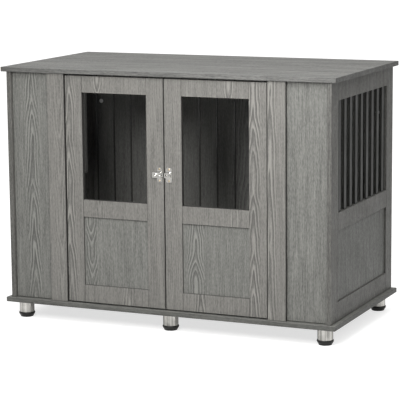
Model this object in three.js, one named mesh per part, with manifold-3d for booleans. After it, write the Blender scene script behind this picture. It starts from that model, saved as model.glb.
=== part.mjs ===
// Dog crate end table: a crate with two outward doors under a table top, on six levelling feet.
// Millimetres, +Z up, the front faces -Y, the origin is on the floor under the middle of the table.

import * as THREE from 'three';
import { mergeVertices } from 'three/addons/utils/BufferGeometryUtils.js';
import Module from 'manifold-3d';

const wasm = await Module();
wasm.setup();

// ---- Driving dimensions ------------------------------------------------------------------

// Boards
const BOARD = 15; // top, base, side frames, doors and rear panel
const FACING = 12; // posts and fixed front panels
const INSET = 5; // thin panels held in the frames' grooves
const EASE = 0.8; // eased edge of every board
const SEAM = 0.2; // glue line between boards that touch
const FIT = 0.3; // clearance round a tongue, a slat or a thin panel
const GROOVE = 6; // how deep a thin panel sits in its frame

// Overall
const TOP_WIDTH = 1150;
const TOP_DEPTH = 609;
const BODY_HEIGHT = 746; // between the base panel and the top panel
const SIDE_OVERHANG = 16;
const FRONT_OVERHANG = 9; // the same at the rear
const FOOT_HEIGHT = 55;

// Rails, counted up from the base panel; the windows take the height that is left
const BOTTOM_RAIL = 62;
const LOWER_PANEL = 222;
const MIDDLE_RAIL = 57;
const TOP_RAIL = 60;

// Side frames and their slats
const SIDE_STILE = 62;
const SLAT_COUNT = 9;
const SLAT_WIDTH = 20;
const SLAT_THICKNESS = 5;
const SLAT_TENON = 10;
const SCORE = 0.9; // half width and depth of the V line where a rail meets a stile

// Front
const MEETING_GAP = 3;
const DOOR_WIDTH = 346;
const HINGE_GAP = 3;
const DOOR_STILE = 59.5;
const DOOR_FOOT_GAP = 4;
const DOOR_HEAD_GAP = 6;
const DOOR_SETBACK = 4; // door face behind the posts' face
const TENON_SHOULDER = 8; // a rail's tongue stops this far short of a window's edge
const POST_WIDTH = 60;
const POST_LAP = 40; // how far a fixed panel runs behind its post
const PANEL_END_GAP = 1.5; // above and below a fixed panel

// Rear panel
const FLUTE_PITCH = 66;
const FLUTE_WIDTH = 6;
const FLUTE_DEPTH = 3;
const FLUTE_EDGE = 10; // least wood between the last flute and the panel's edge
const CAM_RADIUS = 7.5;
const CAM_DEPTH = 12.5;
const CAM_FROM_EDGE = 33;
const CAM_FROM_END = 155;

// Door pivots
const PIN_RADIUS = 3;
const PIN_CLEARANCE = 0.1;
const PIN_INSET = 12; // from the door's hinge edge
const PIN_IN_PANEL = 12;
const PIN_IN_DOOR = 20;
const COLLAR_RADIUS = 6;

// Feet
const FOOT_INSET = 49; // from the panel's edges to a foot's axis
const TUBE_RADIUS = 24.5;
const TUBE_WALL = 1.5;
const FIXING_PLATE = 2;
const FIXING_HOLE = 4;
const BASE_HEIGHT = 16;
const BASE_LIP = 2.1; // how far the base's lip stands out past the tube
const BASE_TAPER = 5.5; // how far the sole draws in from the lip
const BASE_RECESS = 4; // hollow of the base inside its spigot
const LIP_HEIGHT = 6;
const LIP_EASE = 1.2;
const SOLE_ROUND = 2.5;
const SPIGOT_HEIGHT = 15;
const SPIGOT_WALL = 3;

// Latch, measured from the doors' faces and from the middle of the meeting gap
const LATCH_HEIGHT = 506;
const PLATE = 1.2;
const LATCH_WALL = 1.2;
const EAR_HEIGHT = 47;
const EAR_CORNER = 5;
const SCREW_SPACING = 36.5;
const SCREW_HOLE = 1.8;
const BOLT_HEIGHT = 12;
const BOLT_THICKNESS = 3.6;
const BOLT_LENGTH = 32.5;
const BOLT_CORNER = 1.5;
const BOLT_SETBACK = 0.5; // bolt's tip behind the door's edge when open
const BOLT_TRAVEL = 13;
const CASE_SETBACK = 7.5; // case's mouth behind the door's edge
const CASE_LENGTH = 31;
const CASE_CORNER = 2;
const CASE_EAR_WIDTH = 15.5;
const CASE_EAR_LEAD = 0.5; // case's ears past its mouth
const CASE_MARGIN = 3.2; // case above and below its channel
const KEEPER_SETBACK = 0.5; // keeper's mouth behind the door's edge
const KEEPER_LENGTH = 21;
const KEEPER_CORNER = 4;
const KEEPER_EAR_OFFSET = 5;
const KEEPER_EAR_WIDTH = 19.5;
const KEEPER_EYE = 1.7;
const SLOT_HALF = 2.6; // half height of the long slots in bolt and keeper
const SLOT_END = 2.55; // corner radius of those slots
const BOLT_SLOT = [2.5, 14]; // from the bolt's tip
const KEEPER_SLOT = [2, 10.5]; // from the keeper's mouth
const KNOB_RADIUS = 3.5;
const KNOB_OFFSET = 26; // from the bolt's tip
const KNOB_HEIGHT = 6;
const KNOB_DISH = 2.2;

// Modelling
const SEGMENTS = 24;
const OVERCUT = 1; // how far a cutting shape runs past the face it cuts
const WELD = 1e-4; // vertices nearer than this are one

// ---- Sizes worked out from them ----------------------------------------------------------

const baseTop = FOOT_HEIGHT + BOARD;
const bodyTop = baseTop + BODY_HEIGHT;
const bodyHalf = TOP_WIDTH / 2 - SIDE_OVERHANG;
const depthHalf = TOP_DEPTH / 2 - FRONT_OVERHANG;
const cabinHalf = bodyHalf - BOARD;
const windowHeight = BODY_HEIGHT - BOTTOM_RAIL - LOWER_PANEL - MIDDLE_RAIL - TOP_RAIL;
const lowerSill = baseTop + BOTTOM_RAIL;
const lowerHead = lowerSill + LOWER_PANEL;
const windowSill = lowerHead + MIDDLE_RAIL;
const windowHead = windowSill + windowHeight;
const sideWindowHalf = depthHalf - SIDE_STILE;

const doorBottom = baseTop + DOOR_FOOT_GAP;
const doorTop = bodyTop - DOOR_HEAD_GAP;
const meetingEdge = MEETING_GAP / 2;
const hingeEdge = meetingEdge + DOOR_WIDTH;
const pinX = hingeEdge - PIN_INSET;
const doorFace = -depthHalf + DOOR_SETBACK;
const doorMiddle = doorFace + BOARD / 2;
const doorRailLength = DOOR_WIDTH - 2 * DOOR_STILE;
const postInner = hingeEdge + HINGE_GAP;
const postOuter = postInner + POST_WIDTH;

// ---- Shapes ------------------------------------------------------------------------------

const wood = new THREE.MeshStandardMaterial({ color: 0x8b8781, roughness: 0.62, metalness: 0 });
const innerWood = new THREE.MeshStandardMaterial({ color: 0x807d78, roughness: 0.65, metalness: 0 });
const slatPaint = new THREE.MeshStandardMaterial({ color: 0x5a5a58, roughness: 0.5, metalness: 0 });
const chrome = new THREE.MeshStandardMaterial({ color: 0xd8d8d6, roughness: 0.15, metalness: 1 });
const brushed = new THREE.MeshStandardMaterial({ color: 0xb9b8b4, roughness: 0.35, metalness: 1 });
const zinc = new THREE.MeshStandardMaterial({ color: 0x9c9c98, roughness: 0.4, metalness: 1 });
const blackPlastic = new THREE.MeshStandardMaterial({ color: 0x1c1d1c, roughness: 0.55, metalness: 0 });

function solidOf(geometry) {
  const bare = geometry.index ? geometry.toNonIndexed() : geometry.clone();
  bare.deleteAttribute('normal');
  bare.deleteAttribute('uv');
  const merged = mergeVertices(bare, WELD);
  return new wasm.Manifold(new wasm.Mesh({
    numProp: 3,
    vertProperties: merged.attributes.position.array,
    triVerts: new Uint32Array(merged.index.array),
  }));
}

function geometryOf(solid) {
  const mesh = solid.getMesh();
  const geometry = new THREE.BufferGeometry();
  geometry.setAttribute('position', new THREE.BufferAttribute(new Float32Array(mesh.vertProperties), 3));
  geometry.setIndex(new THREE.BufferAttribute(new Uint32Array(mesh.triVerts), 1));
  geometry.computeVertexNormals();
  return geometry;
}

// The first geometry with every tool cut out of it.
function cut(geometry, tools) {
  let solid = solidOf(geometry);
  for (const tool of tools) solid = solid.subtract(solidOf(tool));
  return geometryOf(solid);
}

function join(geometries) {
  let solid = solidOf(geometries[0]);
  for (const geometry of geometries.slice(1)) solid = solid.add(solidOf(geometry));
  return geometryOf(solid);
}

// A cutting block between two corners.
function block(low, high) {
  const size = low.map((value, axis) => high[axis] - value);
  const middle = low.map((value, axis) => (high[axis] + value) / 2);
  return new THREE.BoxGeometry(...size).translate(...middle);
}

// A round bar between two heights, upright.
function rod(radius, low, high) {
  const length = high - low;
  return new THREE.CylinderGeometry(radius, radius, length, SEGMENTS)
    .rotateX(Math.PI / 2)
    .translate(0, 0, low + length / 2);
}

// A rectangle with its four corners cut off at 45 degrees.
function easedRectangle(width, height, ease) {
  const x = width / 2;
  const y = height / 2;
  const shape = new THREE.Shape();
  shape.moveTo(-x + ease, -y);
  shape.lineTo(x - ease, -y);
  shape.lineTo(x, -y + ease);
  shape.lineTo(x, y - ease);
  shape.lineTo(x - ease, y);
  shape.lineTo(-x + ease, y);
  shape.lineTo(-x, y - ease);
  shape.lineTo(-x, -y + ease);
  shape.closePath();
  return shape;
}

function roundedRectangle(left, right, bottom, top, radius) {
  const shape = new THREE.Shape();
  shape.moveTo(left + radius, bottom);
  shape.lineTo(right - radius, bottom);
  shape.absarc(right - radius, bottom + radius, radius, -Math.PI / 2, 0, false);
  shape.lineTo(right, top - radius);
  shape.absarc(right - radius, top - radius, radius, 0, Math.PI / 2, false);
  shape.lineTo(left + radius, top);
  shape.absarc(left + radius, top - radius, radius, Math.PI / 2, Math.PI, false);
  shape.lineTo(left, bottom + radius);
  shape.absarc(left + radius, bottom + radius, radius, Math.PI, Math.PI * 1.5, false);
  return shape;
}

// An outline carried through a thickness, centred on it, with its end edges eased.
function easedExtrusion(shape, thickness, ease) {
  const geometry = new THREE.ExtrudeGeometry(shape, {
    depth: thickness - 2 * ease,
    bevelEnabled: true,
    bevelThickness: ease,
    bevelSize: ease,
    bevelOffset: -ease,
    bevelSegments: 1,
    curveSegments: 6,
  });
  return geometry.translate(0, 0, ease - thickness / 2);
}

// A board of the given size along X, Y and Z, centred, with all its edges eased.
function board(sizeX, sizeY, sizeZ) {
  return easedExtrusion(easedRectangle(sizeX, sizeY, EASE), sizeZ, EASE);
}

const table = new THREE.Group();

function place(parent, name, geometry, material, x = 0, y = 0, z = 0) {
  const mesh = new THREE.Mesh(geometry, material);
  mesh.name = name;
  mesh.position.set(x, y, z);
  parent.add(mesh);
  return mesh;
}

function groupAt(x, y, z) {
  const group = new THREE.Group();
  group.position.set(x, y, z);
  table.add(group);
  return group;
}

const SIDES = [['left', -1], ['right', 1]];

// ---- Top and base ------------------------------------------------------------------------

// Both panels have blind holes for the doors' pins, on the face that looks at the body.
function panelWithPinHoles(mouth) {
  const low = mouth > 0 ? BOARD / 2 - PIN_IN_PANEL - FIT : -BOARD / 2 - OVERCUT;
  const high = mouth > 0 ? BOARD / 2 + OVERCUT : -BOARD / 2 + PIN_IN_PANEL + FIT;
  const holes = SIDES.map(([, side]) => rod(PIN_RADIUS + PIN_CLEARANCE, low, high)
    .translate(side * pinX, doorMiddle, 0));
  return cut(board(TOP_WIDTH, TOP_DEPTH, BOARD), holes);
}

function addPanels() {
  place(table, 'top_panel', panelWithPinHoles(-1), wood, 0, 0, bodyTop + BOARD / 2);
  place(table, 'base_panel', panelWithPinHoles(1), wood, 0, 0, FOOT_HEIGHT + BOARD / 2);
}

// ---- Side frames -------------------------------------------------------------------------

const slatPitch = (2 * sideWindowHalf) / SLAT_COUNT;
const slatCentres = Array.from({ length: SLAT_COUNT }, (_, i) => (i + 0.5) * slatPitch - sideWindowHalf);
const frameMiddle = (baseTop + bodyTop) / 2;

// A V line across both faces of a rail, where it meets a stile.
function railScores(y, low, high) {
  return [-1, 1].map((face) => {
    const groove = new THREE.CylinderGeometry(SCORE * Math.SQRT2, SCORE * Math.SQRT2, high - low, 4);
    return groove.rotateX(Math.PI / 2).translate(face * BOARD / 2, y, (low + high) / 2 - frameMiddle);
  });
}

// The glued frame in the YZ plane: two openings, slots for the slats' ends and a groove all
// round the lower opening for the thin panel.
function sideFrameGeometry() {
  const height = BODY_HEIGHT - 2 * SEAM;
  const outline = easedRectangle(2 * depthHalf, height, EASE);
  for (const [low, high] of [[lowerSill, lowerHead], [windowSill, windowHead]]) {
    const hole = new THREE.Path();
    hole.moveTo(-sideWindowHalf, low - frameMiddle);
    hole.lineTo(-sideWindowHalf, high - frameMiddle);
    hole.lineTo(sideWindowHalf, high - frameMiddle);
    hole.lineTo(sideWindowHalf, low - frameMiddle);
    hole.closePath();
    outline.holes.push(hole);
  }
  const frame = easedExtrusion(outline, BOARD, EASE).rotateX(Math.PI / 2).rotateZ(Math.PI / 2);
  const slots = slatCentres.map((y) => block(
    [-SLAT_THICKNESS / 2 - FIT, y - SLAT_WIDTH / 2 - FIT, windowSill - SLAT_TENON - FIT - frameMiddle],
    [SLAT_THICKNESS / 2 + FIT, y + SLAT_WIDTH / 2 + FIT, windowHead + SLAT_TENON + FIT - frameMiddle],
  ));
  const grooveReach = GROOVE + FIT;
  const groove = block(
    [-INSET / 2 - FIT, -sideWindowHalf - grooveReach, lowerSill - grooveReach - frameMiddle],
    [INSET / 2 + FIT, sideWindowHalf + grooveReach, lowerHead + grooveReach - frameMiddle],
  );
  const rails = [[baseTop, lowerSill], [lowerHead, windowSill], [windowHead, bodyTop]];
  const scores = rails.flatMap(([low, high]) => [-1, 1].flatMap(
    (side) => railScores(side * sideWindowHalf, low, high)));
  return cut(frame, [...slots, groove, ...scores]);
}

function addSides() {
  const frame = sideFrameGeometry();
  const slat = board(SLAT_THICKNESS, SLAT_WIDTH, windowHeight + 2 * SLAT_TENON);
  const inset = board(INSET, 2 * (sideWindowHalf + GROOVE), LOWER_PANEL + 2 * GROOVE);
  for (const [word, side] of SIDES) {
    const group = groupAt(side * (bodyHalf - BOARD / 2), 0, 0);
    place(group, `side_frame_${word}`, frame, wood, 0, 0, frameMiddle);
    place(group, `side_inset_${word}`, inset, wood, 0, 0, (lowerSill + lowerHead) / 2);
    slatCentres.forEach((y, i) => {
      place(group, `slat_${word}_${i + 1}`, slat, slatPaint, 0, y, (windowSill + windowHead) / 2);
    });
  }
}

// ---- Rear panel --------------------------------------------------------------------------

// A plan outline with V flutes along its inner edge, carried up the body's height.
function addRearPanel() {
  const half = cabinHalf - SEAM;
  const inner = -BOARD / 2;
  const perSide = Math.floor((half - FLUTE_EDGE - FLUTE_WIDTH / 2) / FLUTE_PITCH);
  const outline = new THREE.Shape();
  outline.moveTo(-half, inner);
  for (let k = -perSide; k <= perSide; k += 1) {
    outline.lineTo(k * FLUTE_PITCH - FLUTE_WIDTH / 2, inner);
    outline.lineTo(k * FLUTE_PITCH, inner + FLUTE_DEPTH);
    outline.lineTo(k * FLUTE_PITCH + FLUTE_WIDTH / 2, inner);
  }
  outline.lineTo(half, inner);
  outline.lineTo(half, -inner);
  outline.lineTo(-half, -inner);
  outline.closePath();
  const height = BODY_HEIGHT - 2 * SEAM;
  const panel = new THREE.ExtrudeGeometry(outline, { depth: height, bevelEnabled: false });
  panel.translate(0, 0, -height / 2);
  const camX = cabinHalf - CAM_FROM_EDGE;
  const camZ = BODY_HEIGHT / 2 - CAM_FROM_END;
  const pockets = [-1, 1].flatMap((side) => [-1, 1].map((end) => {
    const pocket = rod(CAM_RADIUS + FIT / 2, 0, CAM_DEPTH + OVERCUT).rotateX(-Math.PI / 2);
    return pocket.translate(side * camX, inner - OVERCUT, end * camZ);
  }));
  place(table, 'rear_panel', cut(panel, pockets), innerWood, 0, depthHalf - BOARD / 2, frameMiddle);
}

// ---- Posts and fixed front panels --------------------------------------------------------

function addFront() {
  const post = board(POST_WIDTH, FACING, BODY_HEIGHT - 2 * SEAM);
  const panelInner = postOuter - POST_LAP;
  const panelOuter = cabinHalf - SEAM;
  const panel = board(panelOuter - panelInner, FACING, BODY_HEIGHT - 2 * PANEL_END_GAP);
  const postY = -depthHalf + FACING / 2;
  const panelY = postY + FACING + SEAM;
  for (const [word, side] of SIDES) {
    place(table, `post_${word}`, post, wood, side * (postInner + POST_WIDTH / 2), postY, frameMiddle);
    place(table, `front_panel_${word}`, panel, wood,
      side * (panelInner + panelOuter) / 2, panelY, frameMiddle);
  }
}

// ---- Doors -------------------------------------------------------------------------------

const tongueHalf = INSET / 2;
const slotHalf = INSET / 2 + FIT;

// A stile with a groove for the two lower rails' tongues and the thin panel, and an open slot
// at its head for the top rail's tongue. inward points from the stile to the door's middle.
function stileGeometry(inward, pinHoleX) {
  const height = doorTop - doorBottom;
  const middle = (doorTop + doorBottom) / 2;
  const stile = board(DOOR_STILE, BOARD, height);
  const edge = inward * DOOR_STILE / 2;
  const floor = edge - inward * (GROOVE + FIT);
  const mouth = edge + inward * OVERCUT;
  const [left, right] = [Math.min(mouth, floor), Math.max(mouth, floor)];
  const lowerGroove = block(
    [left, -slotHalf, -height / 2 - OVERCUT],
    [right, slotHalf, windowSill - TENON_SHOULDER + FIT - middle],
  );
  const headSlot = block(
    [left, -slotHalf, windowHead + TENON_SHOULDER - FIT - middle],
    [right, slotHalf, height / 2 + OVERCUT],
  );
  const holes = pinHoleX === null ? [] : [-1, 1].map((end) => {
    const outside = end * (height / 2 + OVERCUT);
    const foot = end * (height / 2 - PIN_IN_DOOR - FIT);
    return rod(PIN_RADIUS + PIN_CLEARANCE, Math.min(outside, foot), Math.max(outside, foot))
      .translate(pinHoleX, 0, 0);
  });
  return cut(stile, [lowerGroove, headSlot, ...holes]);
}

// A rail between two stiles, with a tongue at each end. grooves says which of its edges, -1 for
// the bottom and 1 for the top, holds the thin panel; shoulders says which edges the tongues
// stop short of.
function railGeometry(low, high, grooves, shoulders) {
  const middle = (low + high) / 2;
  const bar = board(doorRailLength - 2 * SEAM, BOARD, high - low);
  const reach = doorRailLength / 2 + GROOVE;
  const shoulder = (end) => (shoulders.includes(end) ? TENON_SHOULDER : 0);
  const tongue = block(
    [-reach, -tongueHalf, low - middle + shoulder(-1)],
    [reach, tongueHalf, high - middle - shoulder(1)],
  );
  const tools = grooves.map((end) => {
    const mouth = end * ((high - low) / 2 + OVERCUT);
    const floor = end * ((high - low) / 2 - GROOVE - FIT);
    return block(
      [-reach - OVERCUT, -slotHalf, Math.min(mouth, floor)],
      [reach + OVERCUT, slotHalf, Math.max(mouth, floor)],
    );
  });
  return cut(join([bar, tongue]), tools);
}

function addDoor(word, side) {
  const group = groupAt(side * pinX, doorMiddle, 0);
  const localX = (x) => side * (x - pinX);
  const railX = localX(meetingEdge + DOOR_WIDTH / 2);
  const middle = (doorTop + doorBottom) / 2;
  const hingeStileX = hingeEdge - DOOR_STILE / 2;
  const meetingStileX = meetingEdge + DOOR_STILE / 2;
  place(group, `${word}_door_hinge_stile`, stileGeometry(-side, side * (pinX - hingeStileX)), wood,
    localX(hingeStileX), 0, middle);
  place(group, `${word}_door_meeting_stile`, stileGeometry(side, null), wood,
    localX(meetingStileX), 0, middle);
  const rails = [
    ['bottom', doorBottom, lowerSill, [1], []],
    ['middle', lowerHead, windowSill, [-1], [1]],
    ['top', windowHead, doorTop, [], [-1]],
  ];
  for (const [level, low, high, grooves, shoulders] of rails) {
    place(group, `${word}_door_${level}_rail`, railGeometry(low, high, grooves, shoulders), wood,
      railX, 0, (low + high) / 2);
  }
  const inset = board(doorRailLength + 2 * GROOVE, INSET, LOWER_PANEL + 2 * GROOVE);
  place(group, `${word}_door_inset`, inset, wood, railX, 0, (lowerSill + lowerHead) / 2);
}

// A pin with a collar that fills the gap between a panel and the door. end is -1 at the foot
// of the door and 1 at its head.
function addPivot(word, side, end) {
  const panelFace = end < 0 ? baseTop : bodyTop;
  const doorEnd = end < 0 ? doorBottom : doorTop;
  const collarOuter = panelFace - end * FIT;
  const collarInner = doorEnd + end * FIT;
  const profile = [
    [0, panelFace + end * PIN_IN_PANEL],
    [PIN_RADIUS, panelFace + end * PIN_IN_PANEL],
    [PIN_RADIUS, collarOuter],
    [COLLAR_RADIUS, collarOuter],
    [COLLAR_RADIUS, collarInner],
    [PIN_RADIUS, collarInner],
    [PIN_RADIUS, doorEnd - end * PIN_IN_DOOR],
    [0, doorEnd - end * PIN_IN_DOOR],
  ];
  if (end > 0) profile.reverse();
  place(table, `${word}_door_pivot_${end < 0 ? 'bottom' : 'top'}`, turned(profile), zinc,
    side * pinX, doorMiddle, 0);
}

// A profile of [radius, height] points, from low to high, turned about Z.
function turned(profile) {
  const points = profile.map(([radius, height]) => new THREE.Vector2(radius, height));
  return new THREE.LatheGeometry(points, SEGMENTS).rotateX(Math.PI / 2);
}

// ---- Latch -------------------------------------------------------------------------------

const channelHalf = BOLT_HEIGHT / 2 + FIT;
const channelFloor = SEAM + PLATE;
const channelRoof = channelFloor + BOLT_THICKNESS + 2 * FIT;
const latchFront = channelRoof + LATCH_WALL;
const blockHalf = channelHalf + CASE_MARGIN;

// A slab of an outline in the door's plane, from one height off the door to another.
function slab(shape, low, high) {
  const geometry = new THREE.ExtrudeGeometry(shape, {
    depth: high - low, bevelEnabled: false, curveSegments: 6,
  });
  return geometry.translate(0, 0, low);
}

function ears(left, width) {
  const half = EAR_HEIGHT / 2;
  const plate = slab(roundedRectangle(left, left + width, -half, half, EAR_CORNER), SEAM, SEAM + PLATE);
  const holes = [-1, 1].map((end) => rod(SCREW_HOLE, 0, channelRoof)
    .translate(left + width / 2, end * SCREW_SPACING / 2, 0));
  return [plate, holes];
}

// Body of the case or the keeper, domed at its front edges.
function latchBlock(left, right, radius) {
  const shape = roundedRectangle(left, right, -blockHalf, blockHalf, radius);
  const geometry = new THREE.ExtrudeGeometry(shape, {
    depth: latchFront - SEAM - LATCH_WALL,
    bevelEnabled: true,
    bevelThickness: LATCH_WALL,
    bevelSize: LATCH_WALL,
    bevelOffset: -LATCH_WALL,
    bevelSegments: 2,
    curveSegments: 6,
  });
  geometry.translate(0, 0, SEAM);
  const back = block(
    [left - OVERCUT, -blockHalf - OVERCUT, SEAM - 2 * LATCH_WALL],
    [right + OVERCUT, blockHalf + OVERCUT, SEAM],
  );
  return cut(geometry, [back]);
}

function longSlot(left, right, low, high) {
  return slab(roundedRectangle(left, right, -SLOT_HALF, SLOT_HALF, SLOT_END), low, high);
}

function addLatch() {
  const tip = -meetingEdge - BOLT_SETBACK;
  const boltBack = tip - BOLT_LENGTH;
  const knobX = tip - KNOB_OFFSET;
  const past = latchFront + OVERCUT;

  const caseRight = -meetingEdge - CASE_SETBACK;
  const caseBlock = latchBlock(caseRight - CASE_LENGTH, caseRight, CASE_CORNER);
  const [caseEars, caseHoles] = ears(caseRight + CASE_EAR_LEAD - CASE_EAR_WIDTH, CASE_EAR_WIDTH);
  const channel = block(
    [boltBack - FIT, -channelHalf, channelFloor],
    [caseRight + OVERCUT, channelHalf, channelRoof],
  );
  const wayHalf = KNOB_RADIUS + FIT;
  const knobWay = slab(
    roundedRectangle(knobX - wayHalf, knobX + BOLT_TRAVEL + wayHalf, -wayHalf, wayHalf, KNOB_RADIUS),
    channelRoof - OVERCUT, past,
  );
  const latchCase = cut(join([caseBlock, caseEars]), [channel, knobWay, ...caseHoles]);

  const boltFloor = channelFloor + FIT;
  const boltFace = boltFloor + BOLT_THICKNESS;
  const knobTop = boltFace + KNOB_HEIGHT;
  const boltShape = roundedRectangle(boltBack, tip, -BOLT_HEIGHT / 2, BOLT_HEIGHT / 2, BOLT_CORNER);
  const knob = rod(KNOB_RADIUS, boltFloor + BOLT_THICKNESS / 2, knobTop).translate(knobX, 0, 0);
  const dish = rod(KNOB_DISH, latchFront, knobTop + OVERCUT).translate(knobX, 0, 0);
  const boltSlot = longSlot(tip - BOLT_SLOT[1], tip - BOLT_SLOT[0], 0, boltFace + OVERCUT);
  const bolt = cut(join([slab(boltShape, boltFloor, boltFace), knob]), [boltSlot, dish]);

  const keeperLeft = meetingEdge + KEEPER_SETBACK;
  const keeperRight = keeperLeft + KEEPER_LENGTH;
  const keeperBlock = latchBlock(keeperLeft, keeperRight, KEEPER_CORNER);
  const [keeperEars, keeperHoles] = ears(keeperLeft + KEEPER_EAR_OFFSET, KEEPER_EAR_WIDTH);
  const mouth = block(
    [keeperLeft - OVERCUT, -channelHalf, channelFloor],
    [keeperLeft + BOLT_TRAVEL, channelHalf, channelRoof],
  );
  const keeperSlot = longSlot(
    keeperLeft + KEEPER_SLOT[0], keeperLeft + KEEPER_SLOT[1], channelRoof - OVERCUT, past,
  );
  const eye = rod(KEEPER_EYE, channelFloor, past).translate(keeperRight - 2 * KEEPER_EYE, 0, 0);
  const keeper = cut(join([keeperBlock, keeperEars]), [mouth, keeperSlot, eye, ...keeperHoles]);

  const latch = groupAt(0, doorFace, LATCH_HEIGHT);
  latch.rotation.x = Math.PI / 2;
  place(latch, 'latch_case', latchCase, chrome);
  place(latch, 'latch_bolt', bolt, chrome);
  place(latch, 'latch_keeper', keeper, chrome);
}

// ---- Feet --------------------------------------------------------------------------------

// A tube closed at its head by the plate that is fixed under the base panel.
function footTube() {
  const head = FOOT_HEIGHT - SEAM;
  const bore = TUBE_RADIUS - TUBE_WALL;
  return turned([
    [bore, BASE_HEIGHT + FIT],
    [TUBE_RADIUS, BASE_HEIGHT + FIT],
    [TUBE_RADIUS, head],
    [FIXING_HOLE, head],
    [FIXING_HOLE, head - FIXING_PLATE],
    [bore, head - FIXING_PLATE],
    [bore, BASE_HEIGHT + FIT],
  ]);
}

// A base with a rounded sole, a lip under the tube and a hollow spigot inside it.
function footBase() {
  const lip = TUBE_RADIUS + BASE_LIP;
  const lipFoot = BASE_HEIGHT - LIP_HEIGHT;
  const sole = lip - BASE_TAPER;
  const spigot = TUBE_RADIUS - TUBE_WALL - FIT;
  return turned([
    [0, 0],
    [sole - SOLE_ROUND, 0],
    [sole - SOLE_ROUND / 3, SOLE_ROUND / 3],
    [sole, SOLE_ROUND],
    [lip - LIP_EASE, lipFoot],
    [lip, lipFoot + 2 * LIP_EASE],
    [lip, BASE_HEIGHT - LIP_EASE],
    [lip - LIP_EASE, BASE_HEIGHT],
    [spigot, BASE_HEIGHT],
    [spigot, BASE_HEIGHT + SPIGOT_HEIGHT],
    [spigot - SPIGOT_WALL, BASE_HEIGHT + SPIGOT_HEIGHT],
    [spigot - SPIGOT_WALL, BASE_HEIGHT - BASE_RECESS],
    [0, BASE_HEIGHT - BASE_RECESS],
  ]);
}

function addFeet() {
  const tube = footTube();
  const base = footBase();
  const reachX = TOP_WIDTH / 2 - FOOT_INSET;
  const reachY = TOP_DEPTH / 2 - FOOT_INSET;
  for (const [row, y] of [['front', -reachY], ['rear', reachY]]) {
    for (const [column, x] of [['left', -reachX], ['middle', 0], ['right', reachX]]) {
      const foot = groupAt(x, y, 0);
      place(foot, `foot_tube_${row}_${column}`, tube, brushed);
      place(foot, `foot_base_${row}_${column}`, base, blackPlastic);
    }
  }
}

// ---- The table ---------------------------------------------------------------------------

addPanels();
addSides();
addRearPanel();
addFront();
for (const [word, side] of SIDES) {
  addDoor(word, side);
  for (const end of [-1, 1]) addPivot(word, side, end);
}
addLatch();
addFeet();

export default table;
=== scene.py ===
"""Looks of a dog crate end table: grain for its laminated boards, paint for its slats, and feet, screws and
cam fittings worked out as fine surfaces. Metres, +Z up, the doors face -Y."""

import math

import bpy
import numpy as np
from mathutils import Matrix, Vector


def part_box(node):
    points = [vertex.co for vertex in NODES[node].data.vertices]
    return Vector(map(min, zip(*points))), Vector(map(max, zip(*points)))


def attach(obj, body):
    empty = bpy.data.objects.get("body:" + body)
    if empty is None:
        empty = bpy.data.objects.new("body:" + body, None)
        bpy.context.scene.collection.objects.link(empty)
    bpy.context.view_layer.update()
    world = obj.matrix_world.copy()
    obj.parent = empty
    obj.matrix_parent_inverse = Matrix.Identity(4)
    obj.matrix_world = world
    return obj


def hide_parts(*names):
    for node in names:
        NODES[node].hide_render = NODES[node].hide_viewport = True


bl_info = {
    "name": "Dog Crate End Table",
    "version": (1, 0, 0),
    "blender": (4, 5, 0),
    "location": "3D View > Sidebar > Crate",
    "description": "Finishes and fine fittings for a dog crate end table",
    "category": "Object",
}

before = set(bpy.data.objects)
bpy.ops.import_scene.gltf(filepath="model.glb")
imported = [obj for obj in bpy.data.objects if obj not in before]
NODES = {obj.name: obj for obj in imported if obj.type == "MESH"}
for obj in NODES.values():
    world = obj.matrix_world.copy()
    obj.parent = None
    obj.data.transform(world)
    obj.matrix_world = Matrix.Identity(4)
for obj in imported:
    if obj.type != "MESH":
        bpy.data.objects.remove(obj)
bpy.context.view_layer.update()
SIDES = (("left", -1), ("right", 1))
ROWS = ("front", "rear")
COLUMNS = ("left", "middle", "right")


# ---- Sizes and colours a user would change ------------------------------------------------


def colour(name, description, default):
    """A colour property, linear red, green and blue."""
    return bpy.props.FloatVectorProperty(
        name=name, description=description, subtype="COLOR", size=3, min=0.0, max=1.0, default=default)


def length(name, description, default):
    """A length property in metres."""
    return bpy.props.FloatProperty(
        name=name, description=description, default=default, min=0.0, unit="LENGTH", precision=4)


def fraction(name, description, default):
    """A property from 0 to 1."""
    return bpy.props.FloatProperty(name=name, description=description, default=default, min=0.0, max=1.0)


def watts(name, description, default):
    """A light's power in watts."""
    return bpy.props.FloatProperty(name=name, description=description, default=default, unit="POWER")


class WoodFinish(bpy.types.PropertyGroup):
    """Colours and grain of the laminated boards."""

    warm: colour("Warm laminate", "Doors and posts", (0.1425, 0.138, 0.1275))
    top: colour("Top laminate", "Top panel", (0.162, 0.161, 0.153))
    cool: colour("Cool laminate", "Base, fixed front panels, doors' thin panels", (0.131, 0.131, 0.121))
    side: colour("Side laminate", "Side frames", (0.104, 0.102, 0.094))
    thin: colour("Thin laminate", "Thin panels of the side frames", (0.113, 0.1145, 0.105))
    inner: colour("Inner laminate", "Rear panel", (0.15, 0.149, 0.139))
    roughness: fraction("Roughness", "Mean roughness of the laminate", 0.5)
    relief: length("Relief", "Depth of the embossed grain", 0.00012)
    # The paler line is a painted highlight along the eased edge.
    edge: length("Edge width", "Width of the paler line along an eased edge", 0.0014)
    banding: fraction("Edge banding", "How much darker the rims of the top and the base are", 0.42)
    side_banding: fraction("Side edge banding", "The same for the side frames and their thin panels", 0.2)
    # On the doors and fixed front boards the darker rims are edge banding and painted shade in the seams.
    front_banding_and_seam_shade: fraction("Front edge banding", "The same for the doors and the fixed front boards", 0.8)
    # Painted shade darkens the rear panel's grooves.
    flute: fraction("Flutes", "How much darker the rear panel's grooves are", 0.6)


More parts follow.
